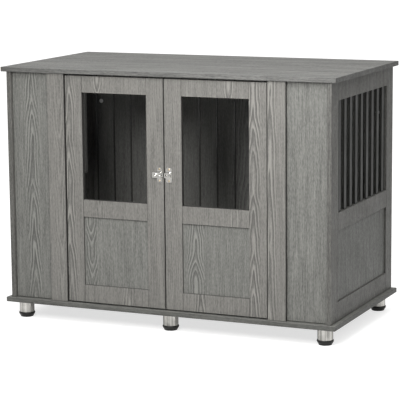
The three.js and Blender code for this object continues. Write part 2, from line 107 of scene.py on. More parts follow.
class PaintFinish(bpy.types.PropertyGroup):
    """Colours of the painted, plastic and metal pieces."""

    slat: colour("Slat paint", "Slats of the side windows", (0.024, 0.0245, 0.022))
    plastic: colour("Black plastic", "Bases of the feet", (0.0045, 0.0045, 0.004))
    steel: colour("Steel", "Tubes of the feet", (0.5, 0.49, 0.465))
    nickel: colour("Nickel plate", "Latch", (0.62, 0.61, 0.585))
    yellow: colour("Yellow zinc", "Heads of the latch screws", (0.5, 0.41, 0.3))
    zinc: colour("Zinc", "Cam fittings", (0.85, 0.85, 0.84))
    pin: colour("Blackened steel", "Pivot pins", (0.06, 0.06, 0.06))


class FittingSizes(bpy.types.PropertyGroup):
    """Sizes of the pieces that are made here in place of, or beside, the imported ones."""

    screw_radius: length("Screw head", "Radius of a latch screw's head", 0.0034)
    screw_height: length("Screw height", "Height of a latch screw's head", 0.0019)
    screw_spacing: length("Screw spacing", "Between the two screws of a latch plate", 0.0365)
    cam_radius: length("Cam radius", "Radius of a cam fitting's face", 0.0074)
    cam_from_edge: length("Cam from edge", "From the rear panel's side edge to a cam fitting", 0.0328)
    cam_from_end: length("Cam from end", "From the rear panel's top or bottom edge to a cam fitting", 0.1548)
    grips: bpy.props.IntProperty(
        name="Grips", description="Finger grips round a foot's base", default=36, min=6, max=72)


class StageSettings(bpy.types.PropertyGroup):
    """Floor, lights and camera."""

    key_power: watts("Key light", "Power of the light in front, that reaches through the windows", 38.0)
    upper_power: watts("Upper light", "Power of the light above and to the right of it", 22.0)
    rear_power: watts("Rear light", "Power of the soft light on the back and the left side", 24.0)
    card_power: watts("Card", "Power of the white card that only shows in glossy surfaces", 4.0)
    sky_strength: bpy.props.FloatProperty(
        name="Sky", description="Strength of the broad light overhead", default=3.1)
    glow: bpy.props.FloatProperty(
        name="Floor glow", description="How far the floor's shadow is lifted for the camera", default=0.7)
    lens: bpy.props.FloatProperty(
        name="Lens", description="Focal length on a 36 mm sensor", default=163.69, min=1.0, unit="CAMERA")


# ---- Node trees ---------------------------------------------------------------------------


class Graph:
    """Adds nodes to a tree. A value that is a socket is linked to the input, any other value is set on it."""

    def __init__(self, tree):
        self.tree = tree

    def put(self, socket, value):
        if isinstance(value, bpy.types.NodeSocket):
            self.tree.links.new(value, socket)
        else:
            socket.default_value = value

    def add(self, kind, inputs=None, **settings):
        node = self.tree.nodes.new("ShaderNode" + kind)
        for name, value in settings.items():
            setattr(node, name, value)
        for key, value in (inputs or {}).items():
            self.put(node.inputs[key], value)
        return node

    def math(self, operation, *values):
        return self.add("Math", dict(enumerate(values)), operation=operation).outputs[0]

    def vector(self, operation, *values):
        return self.add("VectorMath", dict(enumerate(values)), operation=operation).outputs[0]

    def noise(self, place, scale, detail=2.0, roughness=0.5):
        """Noise of scale 1 on a place whose axes are first multiplied by scale."""
        stretched = self.vector("MULTIPLY", place, scale)
        inputs = {"Vector": stretched, "Scale": 1.0, "Detail": detail, "Roughness": roughness}
        return self.add("TexNoise", inputs).outputs["Fac"]

    def step(self, value, low, high, start=0.0, end=1.0):
        """A smooth step from start at low to end at high."""
        inputs = {"Value": value, "From Min": low, "From Max": high, "To Min": start, "To Max": end}
        return self.add("MapRange", inputs, interpolation_type="SMOOTHSTEP").outputs["Result"]

    def centred(self, place, scale, detail=2.0, roughness=0.5):
        """The same noise, about 0 instead of about a half."""
        return self.math("SUBTRACT", self.noise(place, scale, detail, roughness), 0.5)

    def hump(self, value, rise, fall):
        """1 between two smooth steps, up over the first pair of values and down over the second."""
        return self.math("MULTIPLY", self.step(value, *rise), self.step(value, *fall, 1.0, 0.0))

    def mix(self, amount, first, second):
        return self.add("Mix", {0: amount, 6: first, 7: second}, data_type="RGBA").outputs[2]


SOCKETS = {"f": "NodeSocketFloat", "v": "NodeSocketVector", "c": "NodeSocketColor"}


def new_group(name, inputs, outputs):
    """An empty shader group, its graph, the sockets that come in and the node that takes what goes out."""
    tree = bpy.data.node_groups.new(name, "ShaderNodeTree")
    for label, kind, value in inputs:
        tree.interface.new_socket(name=label, in_out="INPUT", socket_type=SOCKETS[kind]).default_value = value
    for label, kind in outputs:
        tree.interface.new_socket(name=label, in_out="OUTPUT", socket_type=SOCKETS[kind])
    graph = Graph(tree)
    return tree, graph, tree.nodes.new("NodeGroupInput").outputs, tree.nodes.new("NodeGroupOutput").inputs


# How far the heart line sways and the rings shift along it, in metres, and how uneven a ring is, in rings.
SWAY, SHIFT, RIPPLE = 0.022, 0.24, 0.8

# Where in a ring the pale line and the darker late wood come and go. A ring runs from 0 to 1.
LINE, TONGUE = ((0.0, 0.06), (0.12, 0.42)), ((0.35, 0.9), (0.93, 1.0))

# Each noise's cells in a metre: across the board, through it and along it.
FLECKS, THREADS, BROAD_BANDS, PORES = (330, 330, 95), (360, 360, 10), (45, 45, 3), (1500, 1500, 38)

# What each adds to the tone, from 0, dark, to 1, light, and how deep a pore is beside the tone's relief.
MEAN_TONE, ARCH_TONE, FINE_TONE, PORE_TONE = 0.46, 0.9, 1.7, 0.16
PORE_RELIEF = 1.2

# How far apart, in metres, two boards whose seeds differ by 1 read the noises.
APART = (3.17, 1.73, 5.31)


def oak_group():
    """Plain-sawn oak: growth rings are cones round a heart line, cut by the board's face, so their lines meet
    in pointed arches there and run straight beside it. X is across the board, Y through it and Z along it."""
    tree, g, given, out = new_group("Oak Print", [
        ("Vector", "v", (0, 0, 0)), ("Heart", "f", 0.0), ("Core", "f", 0.006), ("Ring", "f", 0.007),
        ("Climb", "f", 12.0), ("Spread", "f", 0.026), ("Figure", "f", 1.0), ("Grain", "f", 1.0),
        ("Broad", "f", 0.35), ("Seed", "f", 0.0),
        ("Dark", "c", (0.1, 0.1, 0.1, 1)), ("Light", "c", (0.3, 0.3, 0.3, 1)),
    ], [("Color", "c"), ("Gloss", "f"), ("Height", "f")])
    seeds = g.add("CombineXYZ", {axis: given["Seed"] for axis in range(3)}).outputs[0]
    place = g.vector("ADD", given["Vector"], g.vector("MULTIPLY", seeds, APART))
    split = g.add("SeparateXYZ", {0: given["Vector"]}).outputs
    along = g.add("CombineXYZ", {2: g.add("SeparateXYZ", {0: place}).outputs[2]}).outputs[0]
    sway = g.math("MULTIPLY", g.centred(along, (1, 1, 4.5), 1.0), SWAY)
    shift = g.math("MULTIPLY", g.centred(along, (1, 1, 7.0), 1.0), SHIFT)
    side = g.math("ADD", g.math("SUBTRACT", split[0], given["Heart"]), sway)
    squares = g.math("ADD", g.math("MULTIPLY", side, side), g.math("MULTIPLY", given["Core"], given["Core"]))
    reach = g.math("SQRT", squares)
    ripple = g.math("MULTIPLY", g.centred(place, (50, 50, 8)), RIPPLE)
    climb = g.math("MULTIPLY", g.math("ADD", split[2], shift), given["Climb"])
    ring = g.math("ADD", g.math("ADD", g.math("DIVIDE", reach, given["Ring"]), climb), ripple)
    share = g.math("FRACT", ring)
    number = g.math("ADD", g.math("FLOOR", ring), given["Seed"])
    vary = g.add("TexWhiteNoise", {"W": number}, noise_dimensions="1D").outputs["Value"]
    strength = g.math("ADD", g.math("MULTIPLY", vary, 0.9), 0.35)
    line = g.math("MULTIPLY", g.hump(share, *LINE), strength)
    tongue = g.hump(share, *TONGUE)
    fading = g.math("MULTIPLY", given["Spread"], 0.5)
    near = g.step(g.math("ABSOLUTE", side), fading, given["Spread"], 1.0, 0.0)
    patchy = g.step(g.noise(place, (40, 40, 7), 2.0), 0.3, 0.62, 0.6, 1.0)
    figure = g.math("MULTIPLY", g.math("MULTIPLY", near, given["Figure"]), patchy)
    arches = g.math("MULTIPLY", g.math("SUBTRACT", line, g.math("MULTIPLY", tongue, 0.6)), figure)
    fleck = g.centred(place, FLECKS, 2.0, 0.6)
    thread = g.centred(place, THREADS, 2.0, 0.6)
    broad = g.centred(place, BROAD_BANDS, 1.0)
    pores = g.step(g.noise(place, PORES, 1.0), 0.62, 0.72)
    tone = g.math("ADD", g.math("MULTIPLY", arches, ARCH_TONE), MEAN_TONE)
    fine = g.math("MULTIPLY", g.math("ADD", fleck, thread), given["Grain"])
    tone = g.math("ADD", tone, g.math("MULTIPLY", fine, FINE_TONE))
    tone = g.math("ADD", tone, g.math("MULTIPLY", broad, given["Broad"]))
    tone = g.math("SUBTRACT", tone, g.math("MULTIPLY", pores, PORE_TONE))
    held = g.add("Clamp", {0: tone}).outputs[0]
    g.put(out["Color"], g.mix(held, given["Dark"], given["Light"]))
    g.put(out["Gloss"], held)
    raised = g.math("ADD", held, arches)
    g.put(out["Height"], g.math("SUBTRACT", raised, g.math("MULTIPLY", pores, PORE_RELIEF)))
    return tree


BAND_DEPTH = 0.0006  # how far the darker rim reaches round an edge


def edge_group():
    """Masks of a board's twelve edges, for a painted highlight, and of its rim, for edge banding and, on the
    front boards, painted shade in the seams. A point's three distances to the faces of its box are taken: at
    an edge the second smallest is about 0, and on the rim one of the two that lie in the board's plane. Flat
    is 1 along the board's thickness."""
    tree, g, given, out = new_group(
        "Eased Edge", [("Vector", "v", (0, 0, 0)), ("Half Size", "v", (1, 1, 1)), ("Flat", "v", (0, 1, 0)),
                       ("Width", "f", 0.0014)],
        [("Edge", "f"), ("Rim", "f")])
    inward = g.vector("SUBTRACT", given["Half Size"], g.vector("ABSOLUTE", given["Vector"]))
    in_plane = g.add("SeparateXYZ", {0: g.vector("ADD", inward, given["Flat"])}).outputs
    nearest = g.math("MINIMUM", g.math("MINIMUM", in_plane[0], in_plane[1]), in_plane[2])
    g.put(out["Rim"], g.step(nearest, BAND_DEPTH, 2 * BAND_DEPTH, 1.0, 0.0))
    depth = g.add("SeparateXYZ", {0: inward}).outputs
    least = g.math("MINIMUM", depth[0], depth[1])
    most = g.math("MAXIMUM", depth[0], depth[1])
    second = g.math("MAXIMUM", least, g.math("MINIMUM", most, depth[2]))
    uneven = g.math("ADD", g.noise(given["Vector"], (45, 45, 45), 2.0), 0.45)
    width = g.math("MULTIPLY", uneven, given["Width"])
    g.put(out["Edge"], g.step(second, 0.0, width, 1.0, 0.0))
    return tree


def window_group():
    """A mask of the rim of an upright window in a frame that stands across X: near the faces and near the
    window's outline, which is a box in Y and Z."""
    tree, g, given, out = new_group("Window Rim", [
        ("Vector", "v", (0, 0, 0)), ("Half Thickness", "f", 0.0075), ("Half Window", "v", (0, 0.2, 0.1)),
        ("Middle", "f", 0.0), ("Width", "f", 0.0014)], [("Edge", "f"), ("Rim", "f")])
    split = g.add("SeparateXYZ", {0: given["Vector"]}).outputs
    half = g.add("SeparateXYZ", {0: given["Half Window"]}).outputs
    over = g.math("SUBTRACT", g.math("ABSOLUTE", split[1]), half[1])
    above = g.math("SUBTRACT", g.math("ABSOLUTE", g.math("SUBTRACT", split[2], given["Middle"])), half[2])
    outline = g.math("ABSOLUTE", g.math("MAXIMUM", over, above))
    face = g.math("SUBTRACT", given["Half Thickness"], g.math("ABSOLUTE", split[0]))
    g.put(out["Edge"], g.step(g.math("MAXIMUM", outline, face), 0.0, given["Width"], 1.0, 0.0))
    g.put(out["Rim"], g.step(outline, BAND_DEPTH, 2 * BAND_DEPTH, 1.0, 0.0))
    return tree


def flutes_group():
    """A mask of the upright grooves in the rear panel's inner face, one at every multiple of the pitch, for
    painted shade.
    """
    tree, g, given, out = new_group("Flutes", [
        ("Vector", "v", (0, 0, 0)), ("Pitch", "f", 0.066), ("Half Width", "f", 0.004)], [("Flute", "f")])
    split = g.add("SeparateXYZ", {0: given["Vector"]}).outputs
    share = g.math("FRACT", g.math("ADD", g.math("DIVIDE", split[0], given["Pitch"]), 0.5))
    aside = g.math("MULTIPLY", g.math("ABSOLUTE", g.math("SUBTRACT", share, 0.5)), given["Pitch"])
    mask = g.step(aside, g.math("MULTIPLY", given["Half Width"], 0.6), given["Half Width"], 1.0, 0.0)
    g.put(out["Flute"], g.math("MULTIPLY", mask, g.math("LESS_THAN", split[1], 0.0)))
    return tree


def members_group():
    """A number for each member of a side frame: 3.4 and 4.4 for the two stiles, and 0.7, 1.7 and 2.7 for the
    three rails between them, from the bottom up."""
    tree, g, given, out = new_group("Frame Members", [
        ("Vector", "v", (0, 0, 0)), ("Stile", "f", 0.2), ("Low", "f", -0.2), ("High", "f", 0.2),
    ], [("Member", "f")])
    split = g.add("SeparateXYZ", {0: given["Vector"]}).outputs
    stile = g.math("GREATER_THAN", g.math("ABSOLUTE", split[1]), given["Stile"])
    above_low, above_high = (g.math("GREATER_THAN", split[2], given[level]) for level in ("Low", "High"))
    rail = g.math("ADD", above_low, above_high)
    stiles = g.math("MULTIPLY", g.math("ADD", g.math("GREATER_THAN", split[1], 0.0), 3.4), stile)
    rails = g.math("MULTIPLY", g.math("ADD", rail, 0.7), g.math("SUBTRACT", 1.0, stile))
    g.put(out["Member"], g.math("ADD", stiles, rails))
    return tree


def handling_group():
    """Faint smears and clouds, that change a surface's gloss a little."""
    tree, g, given, out = new_group("Handling", [
        ("Vector", "v", (0, 0, 0)), ("Base", "f", 0.5), ("Amount", "f", 0.1)], [("Roughness", "f")])
    cloud = g.centred(given["Vector"], (9, 9, 9), 3.0, 0.6)
    smear = g.centred(given["Vector"], (60, 60, 25))
    both = g.math("ADD", cloud, g.math("MULTIPLY", smear, 0.6))
    g.put(out["Roughness"], g.math("ADD", given["Base"], g.math("MULTIPLY", both, given["Amount"])))
    return tree


def speckle_group():
    """Fine pebbling of paint or moulded plastic, with a few paler rubs."""
    tree, g, given, out = new_group("Speckle", [
        ("Vector", "v", (0, 0, 0)), ("Scale", "f", 1.0),
        ("Dark", "c", (0, 0, 0, 1)), ("Light", "c", (1, 1, 1, 1)),
    ], [("Color", "c"), ("Height", "f")])
    place = g.add("VectorMath", {0: given["Vector"], "Scale": given["Scale"]}, operation="SCALE").outputs[0]
    pebble = g.noise(place, (1400, 1400, 1400), 2.0)
    rub = g.step(g.noise(place, (70, 70, 70), 3.0, 0.7), 0.45, 0.75)
    tone = g.math("ADD", g.math("MULTIPLY", pebble, 0.5), g.math("MULTIPLY", rub, 0.5))
    g.put(out["Color"], g.mix(tone, given["Dark"], given["Light"]))
    g.put(out["Height"], pebble)
    return tree


def brushed_group():
    """Hairlines: noise with its own stretch on each axis, tight across the lines and drawn out along them,
    with wider bands under it."""
    tree, g, given, out = new_group("Hairlines", [
        ("Vector", "v", (0, 0, 0)), ("Stretch", "v", (6, 6, 1500)), ("Dark", "c", (0, 0, 0, 1)),
        ("Light", "c", (1, 1, 1, 1)), ("Contrast", "f", 1.0), ("Base", "f", 0.3), ("Amount", "f", 0.2)],
        [("Color", "c"), ("Roughness", "f"), ("Height", "f")])
    line = g.noise(given["Vector"], given["Stretch"], 3.0, 0.7)
    band = g.noise(given["Vector"], (35, 35, 35), 2.0)
    tone = g.math("ADD", g.math("MULTIPLY", line, 0.7), g.math("MULTIPLY", band, 0.3))
    about = g.math("SUBTRACT", tone, 0.5)
    strong = g.math("ADD", g.math("MULTIPLY", about, given["Contrast"]), 0.5)
    g.put(out["Color"], g.mix(g.add("Clamp", {0: strong}).outputs[0], given["Dark"], given["Light"]))
    g.put(out["Roughness"], g.math("ADD", given["Base"], g.math("MULTIPLY", about, given["Amount"])))
    g.put(out["Height"], line)
    return tree


GROUP_MAKERS = {
    "Oak Print": oak_group, "Eased Edge": edge_group, "Window Rim": window_group, "Flutes": flutes_group,
    "Frame Members": members_group, "Handling": handling_group, "Speckle": speckle_group,
    "Hairlines": brushed_group,
}


def group(name):
    """The shader group of that name, made the first time it is asked for."""
    return bpy.data.node_groups.get(name) or GROUP_MAKERS[name]()


def use_group(g, name, inputs):
    """A group placed in a material's graph with its own values."""
    node = g.add("Group", node_tree=group(name))
    for key, value in inputs.items():
        g.put(node.inputs[key], value)
    return node.outputs


def new_material(name, **sockets):
    """A material with a Principled BSDF, its constants set on its own sockets, and the graph to add to it."""
    material = bpy.data.materials.new(name)
    material.use_nodes = True
    shader = material.node_tree.nodes["Principled BSDF"]
    for key, value in sockets.items():
        shader.inputs[key.replace("_", " ")].default_value = value
    return material, Graph(material.node_tree), shader.inputs


def shade(base, factor):
    """A colour made darker or lighter, with its alpha."""
    return (*(min(1.0, channel * factor) for channel in base), 1.0)


def bump(g, shader, height, distance):
    """Relief of the given depth in metres."""
    relief = g.add("Bump", {"Height": height, "Distance": distance, "Strength": 1.0})
    g.put(shader["Normal"], relief.outputs[0])


def pebbled_material(name, base, specular, scale, dark, light, roughness, relief):
    """Paint or moulded plastic: a fine pebbled skin between a dark and a light shade of its base colour."""
    material, g, shader = new_material(name, Specular_IOR_Level=specular)
    place = g.add("TexCoord").outputs["Object"]
    skin = use_group(g, "Speckle", {
        "Vector": place, "Scale": scale, "Dark": shade(base, dark), "Light": shade(base, light)})
    g.put(shader["Base Color"], skin["Color"])
    handling = use_group(g, "Handling", {"Vector": place, "Base": roughness, "Amount": 0.3})
    g.put(shader["Roughness"], handling["Roughness"])
    bump(g, shader, skin["Height"], relief)
    return material


# ---- Boards -------------------------------------------------------------------------------

# A board's axes that lie across it, through it and along it, for the three ways a board can stand.
ACROSS_FRONT, ACROSS_SIDE, ALONG_LENGTH = (0, 1, 2), (1, 0, 2), (1, 2, 0)

# Each tint's strength of fine grain, the figure of a board with nearly straight lines, and the boards' seeds.
GRAIN = {"warm": 0.7, "cool": 0.85, "top": 1.1, "side": 1.1, "thin": 1.2, "inner": 0.7}
STRAIGHT = {"Figure": 0.25, "Spread": 0.03, "Climb": 2.5, "Core": 0.002, "Ring": 0.006}
FIRST_SEED, SEED_STEP = 0.5, 1.37

# Shades of a board's own colour, and how far its edges, grooves and grain change its look.
# Paler eased edges are a painted highlight. The dark rim tone is edge banding, and painted shade in seams and
# grooves.
DARK_GRAIN, LIGHT_GRAIN, BAND_AND_SHADE_TONE, EDGE_HIGHLIGHT_TONE = 0.6, 1.52, 0.1, 1.4
EDGE_HIGHLIGHT_SHARE, GRAIN_GLOSS, FLUTE_GLOSS = 0.15, 0.12, 0.45

# The side frames' windows, from the pieces let into their edges: half their length in Y, and their ends in Z.
IN_GROOVE, SLAT_IN_RAIL = 0.006, 0.01
SIDE_INSET, SIDE_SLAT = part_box("side_inset_left"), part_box("slat_left_1")
SIDE_WINDOW_HALF = (SIDE_INSET[1].y - SIDE_INSET[0].y) / 2 - IN_GROOVE
LOWER_WINDOW = (SIDE_INSET[0].z + IN_GROOVE, SIDE_INSET[1].z - IN_GROOVE)
SIDE_WINDOW = (SIDE_SLAT[0].z + SLAT_IN_RAIL, SIDE_SLAT[1].z - SLAT_IN_RAIL)


def arches(heart, climb, figure=1.0, spread=0.028, core=0.004, ring=0.009):
    """Figure of a plain-sawn board: where its heart line is, in metres from the board's middle, and how many
    rings it climbs in a metre. With a positive climb the arches point up, and with a negative one down."""
    return {"Heart": heart, "Climb": climb, "Figure": figure, "Spread": spread, "Core": core, "Ring": ring}


def board_table():
    """For each laminated node: the order of its axes, its tint and its figure."""
    boards = {
        "top_panel": (ALONG_LENGTH, "top", {**STRAIGHT, "Figure": 0.4, "Broad": 1.15}),
        "base_panel": (ALONG_LENGTH, "cool", {**STRAIGHT, "Figure": 0.15}),
        "rear_panel": (ACROSS_FRONT, "inner", arches(0.05, 7.0, 0.5, 0.08, 0.012, 0.011)),
        "post_left": (ACROSS_FRONT, "warm", arches(0.012, -8.0, 0.35)),
        "post_right": (ACROSS_FRONT, "warm", arches(-0.0215, 4.2, 1.0, 0.026, 0.005)),
        "front_panel_left": (ACROSS_FRONT, "cool", arches(-0.0185, 12.0, 1.1)),
        "front_panel_right": (ACROSS_FRONT, "cool", {**STRAIGHT, "Figure": 0.2}),
        "left_door_hinge_stile": (ACROSS_FRONT, "warm", arches(-0.019, 8.0, 1.0)),
        "left_door_meeting_stile": (ACROSS_FRONT, "warm", {**STRAIGHT, "Figure": 0.3}),
        "left_door_top_rail": (ACROSS_FRONT, "warm", arches(-0.0556, -22.0, 1.0, 0.018)),
        "left_door_middle_rail": (ACROSS_FRONT, "warm", arches(-0.0533, -16.0, 0.8, 0.018)),
        "left_door_bottom_rail": (ACROSS_FRONT, "warm", arches(0.046, 5.0, 0.8, 0.03, 0.002)),
        "left_door_inset": (ACROSS_FRONT, "cool", arches(-0.0893, -21.0, 1.0, 0.024)),
        "right_door_hinge_stile": (ACROSS_FRONT, "warm", arches(-0.015, 11.0, 1.15)),
        "right_door_meeting_stile": (ACROSS_FRONT, "warm", {**STRAIGHT, "Figure": 0.3}),
        "right_door_top_rail": (ACROSS_FRONT, "warm", arches(0.047, -9.0, 1.0, 0.022, 0.004)),
        "right_door_middle_rail": (ACROSS_FRONT, "warm", arches(0.062, 5.0, 0.6, 0.02)),
        "right_door_bottom_rail": (ACROSS_FRONT, "warm", arches(-0.053, 9.0, 1.0, 0.03, 0.003)),
        "right_door_inset": (ACROSS_FRONT, "cool", arches(-0.0713, 17.0, 1.1, 0.036, 0.006, 0.008)),
    }
    for word, _ in SIDES:
        boards[f"side_frame_{word}"] = (ACROSS_SIDE, "side", {**STRAIGHT, "Figure": 0.2})
        boards[f"side_inset_{word}"] = (ACROSS_SIDE, "thin", arches(0.12, 9.0, 0.35, 0.04))
    return boards


def board_material(node, order, tint, figure, seed, wood):
    """Laminate of one board: its grain starts from the board's own middle, its rims are darker, as edge
    banding and, on the front boards' seams and in the rear panel's grooves, as painted shade, and its eased
    edges are a little paler, a painted highlight."""
    low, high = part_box(node)
    middle, half = (low + high) / 2, (high - low) / 2
    base = getattr(wood, tint)
    material, g, shader = new_material(f"laminate_{node}", Specular_IOR_Level=0.42)
    place = g.vector("SUBTRACT", g.add("TexCoord").outputs["Object"], tuple(middle))
    split = g.add("SeparateXYZ", {0: place}).outputs
    turned = g.add("CombineXYZ", {i: split[axis] for i, axis in enumerate(order)}).outputs[0]
    flat = tuple(float(axis == order[1]) for axis in range(3))
    masks = use_group(g, "Eased Edge", {
        "Vector": place, "Half Size": tuple(half), "Flat": flat, "Width": wood.edge})
    edge, band = masks["Edge"], masks["Rim"]
    if node.startswith("side_frame"):
        members = {
            "Vector": place, "Stile": SIDE_WINDOW_HALF,
            "Low": LOWER_WINDOW[1] - middle.z, "High": SIDE_WINDOW[1] - middle.z}
        seed = g.math("ADD", use_group(g, "Frame Members", members)["Member"], seed)
        for bottom, top in (SIDE_WINDOW, LOWER_WINDOW):
            rim = use_group(g, "Window Rim", {
                "Vector": place, "Half Thickness": half.x,
                "Half Window": (0.0, SIDE_WINDOW_HALF, (top - bottom) / 2),
                "Middle": (top + bottom) / 2 - middle.z, "Width": wood.edge})
            edge, band = g.math("MAXIMUM", edge, rim["Edge"]), g.math("MAXIMUM", band, rim["Rim"])
    if node == "rear_panel":
        # Painted shade: the rear panel's grooves are darkened in place of the shade that falls in them.
        band = g.math("MULTIPLY", use_group(g, "Flutes", {"Vector": place})["Flute"], wood.flute)
    else:
        # The front boards' rims are darkened further, as painted shade in the seams between them.
        rims = {ACROSS_FRONT: wood.front_banding_and_seam_shade, ACROSS_SIDE: wood.side_banding, ALONG_LENGTH: wood.banding}
        band = g.math("MULTIPLY", band, rims[order])
    grain = use_group(g, "Oak Print", {
        "Vector": turned, **figure, "Grain": GRAIN[tint], "Seed": seed,
        "Dark": shade(base, DARK_GRAIN), "Light": shade(base, LIGHT_GRAIN)})
    # The dark rim tone is edge banding and, in the front seams and rear grooves, painted shade.
    banded_and_shaded = g.mix(band, grain["Color"], shade(base, BAND_AND_SHADE_TONE))
    # Painted highlight: eased edges are mixed towards a paler tone.
    g.put(shader["Base Color"], g.mix(g.math("MULTIPLY", edge, EDGE_HIGHLIGHT_SHARE), banded_and_shaded, shade(base, EDGE_HIGHLIGHT_TONE)))
    smear = use_group(g, "Handling", {"Vector": place, "Base": wood.roughness, "Amount": 0.22})["Roughness"]
    if node == "rear_panel":
        smear = g.math("SUBTRACT", smear, g.math("MULTIPLY", band, FLUTE_GLOSS))
    g.put(shader["Roughness"], g.math("SUBTRACT", smear, g.math("MULTIPLY", grain["Gloss"], GRAIN_GLOSS)))
    bump(g, shader, grain["Height"], wood.relief)
    return material


def dress(node, material):
    """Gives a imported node's object one material in place of its plain one."""
    slots = NODES[node].data.materials
    slots.clear()
    slots.append(material)


class CRATE_OT_boards(bpy.types.Operator):
    """Grain, gloss and eased edges for every laminated board"""

    bl_idname = "crate.boards"
    bl_label = "Laminate the Boards"

    def execute(self, context):
        for count, (node, (order, tint, figure)) in enumerate(board_table().items()):
            seed = SEED_STEP * count + FIRST_SEED
            dress(node, board_material(node, order, tint, figure, seed, context.scene.crate_wood))
        return {"FINISHED"}


class CRATE_OT_slats(bpy.types.Operator):
    """Dark satin paint for the slats of the side windows"""

    bl_idname = "crate.slats"
    bl_label = "Paint the Slats"

    def execute(self, context):
        material = pebbled_material(
            "slat_paint", context.scene.crate_paint.slat, specular=0.4, scale=0.6, dark=0.8, light=1.25,
            roughness=0.42, relief=0.00004)
        for node in NODES:
            if node.startswith("slat_"):
                dress(node, material)
        return {"FINISHED"}


# ---- Surfaces -----------------------------------------------------------------------------


def new_piece(name, points, faces, body, material, sharp=35.0):
    """A mesh object at the origin, smooth but for edges sharper than a given angle, that rides on a body."""
    mesh = bpy.data.meshes.new(name)
    mesh.from_pydata(points, [], faces)
    mesh.polygons.foreach_set("use_smooth", np.ones(len(mesh.polygons), dtype=bool))
    mesh.set_sharp_from_angle(angle=math.radians(sharp))
    mesh.update()
    piece = bpy.data.objects.new(name, mesh)
    bpy.context.scene.collection.objects.link(piece)
    piece.data.materials.append(material)
    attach(piece, body)
    return piece


def ring_faces(rows, count):
    """Quads between the neighbouring rows of a grid that closes on itself along each row."""
    row, column = np.meshgrid(np.arange(rows - 1), np.arange(count), indexing="ij")
    a, b = row * count + column, row * count + (column + 1) % count
    return np.stack([a, b, b + count, a + count], axis=-1).reshape(-1, 4)


def lathe(radii, heights, count, wave=None):
    """A profile of radii and heights turned about Z. Its first and last radius are 0 or the same point, so
    the surface is closed. wave adds to each radius, by row and by angle."""
    turn = np.linspace(0.0, 2.0 * math.pi, count, endpoint=False)
    radius = np.repeat(np.asarray(radii, float)[:, None], count, axis=1)
    if wave is not None:
        radius = radius + wave(np.arange(len(radii))[:, None], turn[None, :])
    grid = np.stack([radius * np.cos(turn), radius * np.sin(turn),
                     np.repeat(np.asarray(heights, float)[:, None], count, axis=1)], axis=-1)
    return grid.reshape(-1, 3), ring_faces(len(radii), count).tolist()


def close_poles(points, faces, rows, count):
    """Joins the first and the last row of a turned grid to one point each, with fans of triangles."""
    faces = [list(face) for face in faces]
    bottom, top = len(points), len(points) + 1
    points = np.vstack([points, points[:count].mean(axis=0), points[(rows - 1) * count:].mean(axis=0)])
    step = [(i, (i + 1) % count) for i in range(count)]
    last = (rows - 1) * count
    return points, faces + [[bottom, b, a] for a, b in step] + [[top, last + a, last + b] for a, b in step]


def rounded(corners, radius, steps=4):
    """A profile with its inner corners rounded: each is replaced by points of a curve from one side to the
    other, a weighted mean of the corner and the two points that lie a radius away from it."""
    corners = np.asarray(corners, float)
    rows = [corners[0]]
    share = np.linspace(0.0, 1.0, steps + 1)[:, None]
    for before, corner, after in zip(corners, corners[1:], corners[2:]):
        arms = [side - corner for side in (before, after)]
        ends = [corner + arm * min(radius / max(np.hypot(*arm), 1e-9), 0.45) for arm in arms]
        rows.extend((1 - share) ** 2 * ends[0] + 2 * share * (1 - share) * corner + share ** 2 * ends[1])
    rows.append(corners[-1])
    return np.array(rows)


# ---- Feet ---------------------------------------------------------------------------------

TUBE_WALL, TUBE_RIM, TUBE_POINTS = 0.0015, 0.0005, 96
NECK_INSET = 0.0019  # from the tube's outside to the neck that slides in it
LIP_GAP, LIP_DEPTH = 0.0003, 0.0003  # from the tube's end to the lip, and the part of the lip with grips
GRIP_DEPTH, GRIP_POINTS = 0.00035, 6
SOLE_INSET, BASE_ROUND = 0.0052, 0.0014  # from the lip's radius in to the sole's, and the round of the corners


def tube_material(paint):
    """Steel brushed along the tube, with painted shade, a darker reflection, where it is seen at a low angle.
    """
    material, g, shader = new_material("brushed_steel_tube", Metallic=1.0, Anisotropic=0.5)
    place = g.add("TexCoord").outputs["Object"]
    steel = use_group(g, "Hairlines", {
        "Vector": place, "Stretch": (130, 130, 2),
        "Dark": shade(paint.steel, 0.45), "Light": shade(paint.steel, 1.7),
        "Contrast": 3.5, "Base": 0.2, "Amount": 0.2})
    # Painted shade: the steel darkens towards the tube's sides as seen from the camera, in place of a darker
    # reflection there.
    painted_rim_shade = g.math("POWER", g.add("LayerWeight", {"Blend": 0.5}).outputs["Facing"], 3.0)
    darkened = g.mix(g.math("MULTIPLY", painted_rim_shade, 0.9), steel["Color"], shade(paint.steel, 0.1))
    g.put(shader["Base Color"], darkened)
    g.put(shader["Roughness"], steel["Roughness"])
    bump(g, shader, steel["Height"], 0.00002)
    return material


def plastic_material(paint):
    """Black moulded plastic of the feet's bases."""
    return pebbled_material(
        "black_plastic", paint.plastic, specular=0.5, scale=1.0, dark=0.7, light=1.9, roughness=0.36,
        relief=0.00005)


def tube_profile(low, high, outer, inner):
    """Section of a tube with rounded rims, closed on itself."""
    start = (inner, (low + high) / 2)
    return rounded([start, (inner, low), (outer, low), (outer, high), (inner, high), start], TUBE_RIM, 3)


def base_profile(low, high, top, lip, neck):
    """Section of a foot's base from the middle of its sole: a rounded sole, a draft up to the lip, a rounded
    shoulder under the tube, and a neck long enough to stay in the tube when the base is screwed out."""
    sole = lip - SOLE_INSET
    corners = [
        (0.0, low), (sole - 0.0005, low), (sole + 0.0004, low + 0.0032),
        (lip - 0.0006, high - 0.0062), (lip, high - 0.0046), (lip, high - 0.0008),
        (neck + 0.0004, high), (neck, high + 0.0006), (neck, top), (0.0, top)]
    return rounded(corners, BASE_ROUND, 4)


